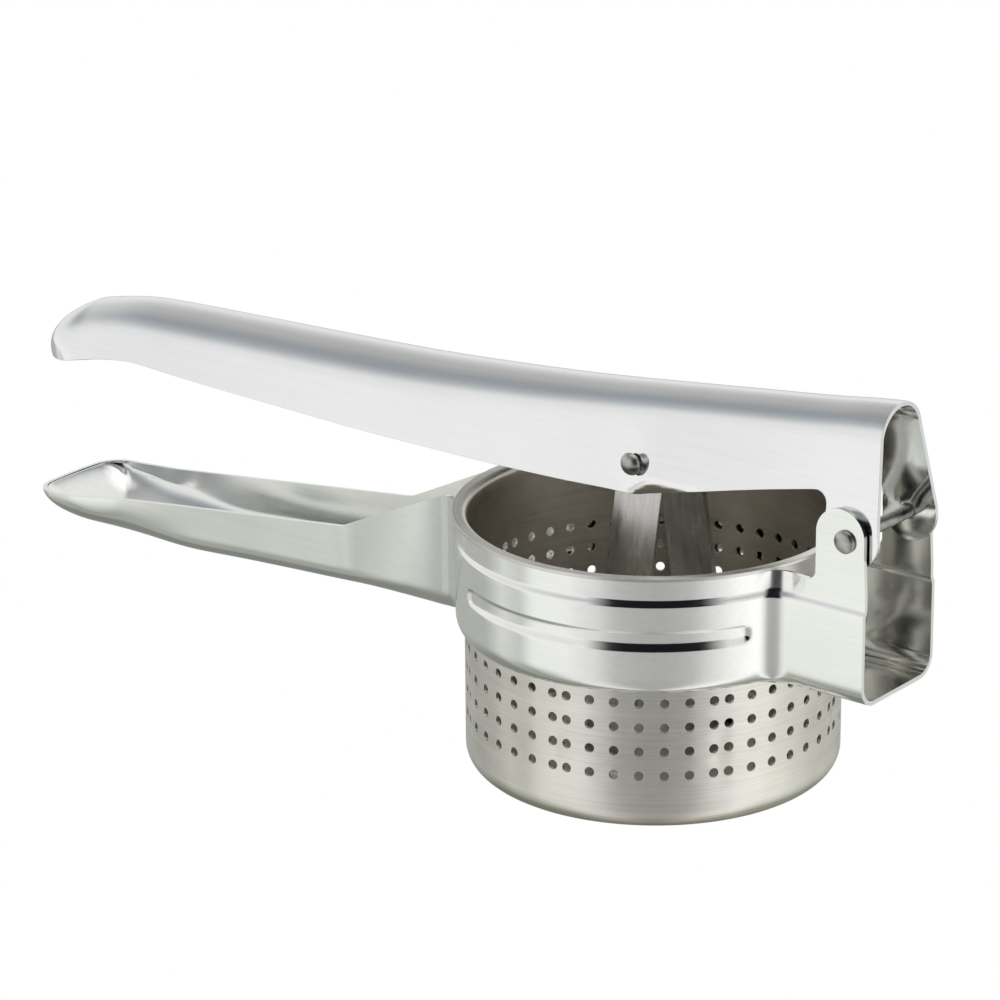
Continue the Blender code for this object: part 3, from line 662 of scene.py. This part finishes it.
def buildLowerFrame():
    plan, filletStart, run = framePlan()
    rows = []
    middle = plan[filletStart + 9]

    def leanAt(point):  # a soft dent in the fillet, kept clear of the basket's wall
        away = math.dist(point, middle) / lowerFrame["leanReach"]
        dent = lowerFrame["lean"] * math.exp(-(away**2))
        return max(min(dent, math.hypot(*point) - lowerFrame["dentLimit"]), 0.0)

    for i, (x, y) in enumerate(plan):
        a, b = plan[max(i - 1, 0)], plan[min(i + 1, len(plan) - 1)]
        size = math.dist(a, b)
        normal = (-(b[1] - a[1]) / size, (b[0] - a[0]) / size)
        if i == 0:
            normal = (-1.0, 0.0)
        if i == len(plan) - 1:
            normal = (0.0, 1.0)
        rows.append(frameRow(x, y, normal, leanAt((x, y))))
    ear = earOutline()
    half = lowerFrame["bracketHalf"]
    earX = ear[0][0]
    for x in steps(run, earX, 10)[1:]:
        rows.append(frameRow(x, half, (0, 1), leanAt((x, half)) * (earX - x) / (earX - run)))
    baseMap = ((0, earX), *lowerFrame["baseMap"], (1, lowerFrame["bracketEnd"]))
    for share, point in list(zip(pathShares(ear), ear))[1:]:
        rows.append(frameRow(curveAt(baseMap, share), half, (0, 1), 0.0, point))
    bm = rowSheet(rows)
    faceOutward(bm, (0, -1, 0))
    piece = makePiece("lowerFrame", bm, frameSteel, "frame", "lower_frame")
    mirrorHalf(piece)
    thicken(piece, lowerFrame["sheet"])
    roundEdges(piece, lowerFrame["edge"])
    cutters = [
        cutHole(
            piece, "basketBore", lowerFrame["basketHole"], 16 * mm,
            (0, 0, lowerFrame["floor"]), (0, 0, 1),
        ),
        boreAcross(piece, "earBore", hingeX, hingeZ),
    ]
    applyAll(piece, cutters)
    return piece


buildLowerFrame()
print("lower frame made")

# basket: a perforated strip made flat, rolled into a cup and closed with a perforated base
basket = {
    "radius": 42.5 * mm, "wall": 0.8 * mm, "hole": 1.08 * mm, "rows": 6, "pitch": 5.67 * mm,
    "firstRow": 13.4 * mm, "panels": 7, "columns": 7, "columnAngle": 7.45, "panelAngle": 49.4,
    "frontPanel": -58.0, "corner": 4.9 * mm, "rim": 2.66 * mm, "rimUnder": 59.5 * mm,
    "basePitch": 8.2 * mm, "baseRings": 4, "dent": 0.28 * mm, "edge": 0.12 * mm,
}


def holeAngles():
    angles = []
    for panel in range(basket["panels"]):
        center = basket["frontPanel"] + (panel - 3) * basket["panelAngle"]
        angles += [center + (column - 3) * basket["columnAngle"] for column in range(basket["columns"])]
    angles.append(angles[0] - basket["columnAngle"])
    return sorted(math.radians(angle) for angle in angles)


def perforatedStrip(bm):
    radius, half = basket["radius"], basket["pitch"] / 2
    angles = holeAngles()
    turn = 2 * math.pi
    for i, angle in enumerate(angles):
        before = angles[i - 1] - (turn if i == 0 else 0)
        after = angles[(i + 1) % len(angles)] + (turn if i == len(angles) - 1 else 0)
        left, right = (before + angle) / 2 * radius, (angle + after) / 2 * radius
        middle, reach = (left + right) / 2, (right - left) / 2
        for row in range(basket["rows"]):
            u, v = angle * radius, basket["firstRow"] + row * basket["pitch"]
            made = bmesh.ops.create_circle(
                bm, segments=16, radius=basket["hole"], matrix=Matrix.Translation((u, v, 0))
            )
            edges = {edge for vert in made["verts"] for edge in vert.link_edges}
            spread = bmesh.ops.extrude_edge_only(bm, edges=list(edges))["geom"]
            for vert in [item for item in spread if isinstance(item, bmesh.types.BMVert)]:
                k = round(math.atan2(vert.co.y - v, vert.co.x - u) / (turn / 16)) * turn / 16
                along, up = math.cos(k), math.sin(k)
                longest = max(abs(along), abs(up))
                across, rise = [round(2 * value / longest) / 2 for value in (along, up)]
                vert.co = (middle + reach * across, v + half * rise, 0)
    bmesh.ops.remove_doubles(bm, verts=bm.verts, dist=0.00001)


def growStrip(bm, level, path):  # carries the strip's edge along (radial, height) points
    edges = [
        edge for edge in bm.edges
        if edge.is_boundary and all(abs(vert.co.y - level) < 0.00002 for vert in edge.verts)
    ]
    for out, height in path:
        made = bmesh.ops.extrude_edge_only(bm, edges=edges)["geom"]
        fresh = {item for item in made if isinstance(item, bmesh.types.BMVert)}
        for vert in fresh:
            vert.co.y, vert.co.z = height, out
        edges = [
            item for item in made
            if isinstance(item, bmesh.types.BMEdge) and all(vert in fresh for vert in item.verts)
        ]


def rollStrip(bm):
    radius = basket["radius"]
    seams = [basket["frontPanel"] + (k - 3.5) * basket["panelAngle"] for k in range(9)]
    for vert in bm.verts:
        angle, height = vert.co.x / radius, vert.co.y
        nearest = min(abs(angle - math.radians(seam)) for seam in seams) * radius
        swell = math.exp(-((nearest / (2.6 * mm)) ** 2))
        dent = basket["dent"] * swell * math.exp(-(((height - 18 * mm) / (8 * mm)) ** 2))
        reach = radius + vert.co.z - dent
        vert.co = (reach * math.cos(angle), reach * math.sin(angle), height)
    bmesh.ops.remove_doubles(bm, verts=bm.verts, dist=0.00002)


def closeBase(bm):
    edges = [
        edge for edge in bm.edges
        if edge.is_boundary and all(vert.co.z < 0.0001 for vert in edge.verts)
    ]
    for ring in range(1, basket["baseRings"] + 1):
        for k in range(6 * ring):
            turn = 2 * math.pi * k / (6 * ring)
            reach = ring * basket["basePitch"]
            place = Matrix.Translation((reach * math.cos(turn), reach * math.sin(turn), 0))
            made = bmesh.ops.create_circle(bm, segments=16, radius=basket["hole"], matrix=place)
            edges += list({edge for vert in made["verts"] for edge in vert.link_edges})
    bmesh.ops.triangle_fill(bm, edges=edges, use_beauty=True, normal=(0, 0, -1))


def buildBasket():
    bm = bmesh.new()
    perforatedStrip(bm)
    radius, under, corner = basket["radius"], basket["rimUnder"], basket["corner"]
    top = basket["firstRow"] + (basket["rows"] - 0.5) * basket["pitch"]
    bottom = basket["firstRow"] - basket["pitch"] / 2
    upper = [(0, height) for height in (49 * mm, 53.5 * mm, 57 * mm, under - 0.9 * mm)]
    upper += [
        (0.9 * mm - 0.9 * mm * math.cos(turn), under - 0.9 * mm + 0.9 * mm * math.sin(turn))
        for turn in steps(0, math.pi / 2, 5)[1:]
    ]
    upper += [(1.6 * mm, under), (2.3 * mm, under), (basket["rim"], under + 0.02 * mm)]
    growStrip(bm, top, upper)
    lower = [(0, 8 * mm), (0, corner + 0.4 * mm)]
    lower += [
        (corner * (math.cos(turn) - 1), corner * (1 - math.sin(turn)))
        for turn in steps(0, math.pi / 2, 10)
    ]
    growStrip(bm, bottom, lower + [(35.6 * mm - radius, 0)])
    rollStrip(bm)
    closeBase(bm)
    bmesh.ops.recalc_face_normals(bm, faces=bm.faces)
    outer = max(bm.faces, key=lambda face: face.calc_center_median().x)
    if outer.normal.z > 0 and outer.calc_center_median().z > under - 1 * mm:
        bmesh.ops.reverse_faces(bm, faces=bm.faces)
    piece = makePiece("basketCup", bm, basketSteel, "frame", "basket")
    thicken(piece, basket["wall"])
    roundEdges(piece, basket["edge"], 2, 55)
    applyAll(piece)
    return piece


buildBasket()
print("basket made")

# plunger: plate and the bent strip that carries it
plunger = {
    "plateRadius": 39.0 * mm, "plateBottom": 1.8 * mm, "plate": 1.2 * mm, "lip": 1.4 * mm,
    "strip": 12.6 * mm, "flat": 6.0 * mm, "crease": 0.8 * mm, "sheet": 1.2 * mm,
    "topHalf": 8.0 * mm, "footHalf": 21.2 * mm, "foot": 6.0 * mm, "gap": 0.3 * mm,
    "offset": 0.8 * mm, "edge": 0.2 * mm,
}


def buildPlate():
    radius, low = plunger["plateRadius"], plunger["plateBottom"]
    top = low + plunger["plate"]
    inner, high, r = radius - plunger["plate"], top + plunger["lip"], 0.4 * mm
    profile = [(0, top), (inner * 0.5, top), (inner - 1.0 * mm, top)]
    profile += arcPoints((inner - 1 * mm, top + 1 * mm), 1 * mm, -math.pi / 2, 0, 5)[1:]
    profile += arcPoints((inner + r, high - r), r, math.pi, math.pi / 2, 4)
    profile += arcPoints((radius - r, high - r), r, math.pi / 2, 0, 4)
    profile += arcPoints((radius - 0.8 * mm, low + 0.8 * mm), 0.8 * mm, 0, -math.pi / 2, 6)
    profile += [(inner * 0.5, low), (0, low)]
    bm = spunShape([(x, 0, z) for x, z in profile], 128)
    return makePiece("pressPlate", bm, shadedPlateSteel, "plunger", "press_plate")


def buildYoke():
    top, bend = plungerZ + 5 * mm, plunger["topHalf"]
    foot = plunger["plateBottom"] + plunger["plate"] + plunger["gap"] + plunger["sheet"]
    low = math.radians(12)
    path = [
        (y, z, turn) for (y, z), turn in zip(
            arcPoints((0, top - bend), bend, math.pi / 2, low, 16), steps(math.pi / 2, low, 16)
        )
    ]
    legTop = path[-1]
    for t in steps(0, 1, 30)[1:]:
        y = legTop[0] + (plunger["footHalf"] - legTop[0]) * t
        path.append((y, legTop[1] + (foot + 1.4 * mm - legTop[1]) * t, low))
    path += [(plunger["footHalf"] + 0.3 * mm, foot + 0.5 * mm, 0.6)]
    path += [(plunger["footHalf"] + out, foot, 0.0) for out in (1.2 * mm, plunger["foot"])]
    flat, half = plunger["flat"] / 2, plunger["strip"] / 2
    rows = []
    for y, z, turn in path:
        row = []
        for t in steps(-1, 1, 16):
            side = abs(t) * half
            fold = max(side - flat + 0.5 * mm, 0.0)
            fold = fold * fold / (2 * mm) if fold < 1 * mm else fold - 0.5 * mm
            crease = fold / (half - flat) * plunger["crease"]
            crease *= ease((z - foot) / (7 * mm))  # none on the flat foot
            px = plungerX - plunger["offset"] + t * half
            row.append((px, -y + crease * math.cos(turn), z - crease * math.sin(turn)))
        rows.append(row)
    bm = rowSheet(rows)
    faceOutward(bm, (0, 0, 1))
    piece = makePiece("plungerYoke", bm, yokeSteel, "plunger", "plunger_yoke")
    mirrorHalf(piece)
    thicken(piece, plunger["sheet"])
    roundEdges(piece, plunger["edge"])
    applyAll(piece, [boreAcross(piece, "yokeBore", plungerX, plungerZ)])
    return piece


buildPlate()
buildYoke()
print("plunger made")

# rivets: a plain shank with a domed head at each end
rivets = {
    "hinge": ("hingeRivet", "hinge_rivet", "frame", 1.1 * mm, 13.7 * mm, "rivet_steel"),
    "plunger": (
        "plungerRivet", "plunger_rivet", "lever", 1.7 * mm, 12.1 * mm, "plunger_rivet_steel",
    ),
    "head": 2.6 * mm, "shank": 1.55 * mm,
}


def buildRivet(which, x, z):
    name, node, body, dome, grip, slot = rivets[which]
    head, shank = rivets["head"], rivets["shank"]
    outer = [(head * math.sin(t), grip + dome * math.cos(t)) for t in steps(0, 1.35, 12)]
    outer += [(head, grip + 0.16 * mm), (head - 0.06 * mm, grip), (shank, grip)]
    half = outer + [(shank, grip * t) for t in (0.66, 0.33)]
    profile = half + [(shank, 0)] + [(r, -y) for r, y in reversed(half)]
    points = [(x + r, y, z) for r, y in profile]
    bm = spunShape(points, 40, axis=(0, 1, 0), center=(x, 0, z))
    return makePiece(name, bm, rivetSteel, body, node)


buildRivet("hinge", hingeX, hingeZ)
buildRivet("plunger", plungerX, plungerZ)
print("rivets made")

# studio: a pale floor, a soft surround that the metal reflects, and the camera
studio = {
    "camera": (0.55006, -0.75460, 0.40030), "target": (-0.02699, -0.02123, 0.06228),
    "roll": -0.428, "lens": 160.35, "towards": (0.6184, -0.7859), "strength": 1.0,
}


def buildCamera():
    camera = bpy.data.objects.new("camera", bpy.data.cameras.new("camera"))
    bpy.context.scene.collection.objects.link(camera)
    place = Vector(studio["camera"])
    look = Vector(studio["target"]) - place
    turn = look.to_track_quat("-Z", "Y").to_matrix()
    roll = Matrix.Rotation(math.radians(studio["roll"]), 3, "Z")
    camera.matrix_world = Matrix.Translation(place) @ (turn @ roll).to_4x4()
    camera.data.lens = studio["lens"]
    camera.data.sensor_width = 36
    camera.data.clip_start, camera.data.clip_end = 0.01, 50
    bpy.context.scene.camera = camera


def buildFloor():
    bm = bmesh.new()
    bmesh.ops.create_grid(bm, x_segments=4, y_segments=4, size=6)
    floor = addObject("floor", bm)
    material = bpy.data.materials.new("floorPaper")
    material.use_nodes = True
    tree = material.node_tree
    tree.nodes.remove(tree.nodes["Principled BSDF"])
    paper = addNode(tree, "ShaderNodeBsdfDiffuse", {"Color": (0.93, 0.93, 0.93, 1)})
    glow = addNode(tree, "ShaderNodeEmission", {"Color": (1, 1, 1, 1), "Strength": 1.0})
    clear = addNode(tree, "ShaderNodeBsdfTransparent")
    path = addNode(tree, "ShaderNodeLightPath")
    first, second = addNode(tree, "ShaderNodeMixShader"), addNode(tree, "ShaderNodeMixShader")
    link = tree.links.new
    link(path.outputs["Is Camera Ray"], first.inputs[0])
    link(paper.outputs[0], first.inputs[1])
    link(glow.outputs[0], first.inputs[2])
    link(path.outputs["Is Glossy Ray"], second.inputs[0])
    link(first.outputs[0], second.inputs[1])
    link(clear.outputs[0], second.inputs[2])
    link(second.outputs[0], tree.nodes["Material Output"].inputs["Surface"])
    floor.data.materials.append(material)


def buildSurround():
    world = bpy.data.worlds.new("surround")
    bpy.context.scene.world = world
    world.use_nodes = True
    tree = world.node_tree
    link = tree.links.new
    way = addNode(tree, "ShaderNodeTexCoord").outputs["Generated"]
    split = addNode(tree, "ShaderNodeSeparateXYZ")
    link(way, split.inputs[0])
    level = addNode(tree, "ShaderNodeVectorMath", {1: (1, 1, 0)}, operation="MULTIPLY")
    link(way, level.inputs[0])
    flat = addNode(tree, "ShaderNodeVectorMath", operation="NORMALIZE")
    link(level.outputs[0], flat.inputs[0])
    toward = (*studio["towards"], 0)
    facing = addNode(tree, "ShaderNodeVectorMath", {1: toward}, operation="DOT_PRODUCT")
    link(flat.outputs[0], facing.inputs[0])
    front = addNode(tree, "ShaderNodeMapRange", {"From Min": -1.0, "From Max": 1.0})
    link(facing.outputs["Value"], front.inputs["Value"])
    rise = addNode(tree, "ShaderNodeMapRange", {"From Min": -1.0, "From Max": 1.0})
    link(split.outputs["Z"], rise.inputs["Value"])
    across = addNode(tree, "ShaderNodeVectorMath", {1: (-toward[1], toward[0], 0)},
                     operation="DOT_PRODUCT")
    link(flat.outputs[0], across.inputs[0])
    rightHand = addNode(tree, "ShaderNodeMapRange", {"From Min": -0.1, "From Max": 0.1})
    link(across.outputs["Value"], rightHand.inputs["Value"])
    left = ramp(tree, front.outputs[0], [
        (0.0, 0.48), (0.28, 0.50), (0.41, 0.80), (0.54, 0.66), (0.62, 1.0), (0.80, 0.98),
        (0.91, 0.80), (0.96, 0.55), (1.0, 0.47),
    ])
    right = ramp(tree, front.outputs[0], [
        (0.0, 0.48), (0.12, 0.60), (0.38, 0.78), (0.50, 1.0), (0.70, 1.36), (0.86, 1.05),
        (0.93, 0.80), (0.97, 0.55), (1.0, 0.47),
    ])
    table = blend(tree, rightHand.outputs[0], left, right)
    nearer = ramp(tree, rise.outputs[0], [
        (0.0, (0.40, 0.42, 0.38)), (0.20, (0.58, 0.61, 0.56)), (0.31, (0.97, 0.99, 0.95)),
        (0.45, (1, 1, 1)),
    ])
    aside = ramp(tree, front.outputs[0], [(0.0, 1.0), (0.64, 1.0), (0.78, 0.15), (1.0, 0.15)])
    table = blend(tree, aside, table, nearer, "MULTIPLY")
    sides = ramp(tree, rise.outputs[0], [
        (0.50, 0.98), (0.54, 0.92), (0.67, 0.84), (0.71, (0.72, 0.74, 0.76)),
        (0.77, (0.50, 0.52, 0.54)), (0.83, (0.36, 0.38, 0.41)), (0.89, (0.34, 0.36, 0.38)),
        (0.92, 0.42), (0.99, 1.2),
    ])
    behindLeft = ramp(tree, rise.outputs[0], [
        (0.5, 0.88), (0.67, 0.82), (0.85, 0.50), (0.92, 0.42), (0.99, 1.2),
    ])
    behindRight = ramp(tree, rise.outputs[0], [(0.5, 0.75), (0.67, 0.95), (0.9, 0.9), (0.99, 1.5)])
    behind = blend(tree, rightHand.outputs[0], behindLeft, behindRight)
    far = ramp(tree, front.outputs[0], [(0.0, 1.0), (0.12, 1.0), (0.32, 0.0)])
    sky = blend(tree, far, sides, behind)
    dark = ramp(tree, front.outputs[0], [(0.0, 0.0), (0.88, 0.0), (0.945, 1.0)])
    below = ramp(tree, rise.outputs[0], [(0.90, 1.0), (0.94, 0.0)])
    sky = blend(tree, blend(tree, 1.0, dark, below, "MULTIPLY"), sky, (0.010, 0.010, 0.013))
    turnUp = ramp(tree, rise.outputs[0], [(0.44, 0.0), (0.47, 1.0)])
    whole = blend(tree, turnUp, table, sky)
    whole = blend(tree, 1.0, whole, (0.93, 0.93, 0.93), "MULTIPLY")
    path = addNode(tree, "ShaderNodeLightPath")
    shown = blend(tree, path.outputs["Is Camera Ray"], whole, (1, 1, 1))
    background = tree.nodes["Background"]
    background.inputs["Strength"].default_value = studio["strength"]
    link(shown, background.inputs["Color"])


buildCamera()
buildFloor()
buildSurround()
bpy.context.scene.view_settings.view_transform = "Standard"
print("studio made")
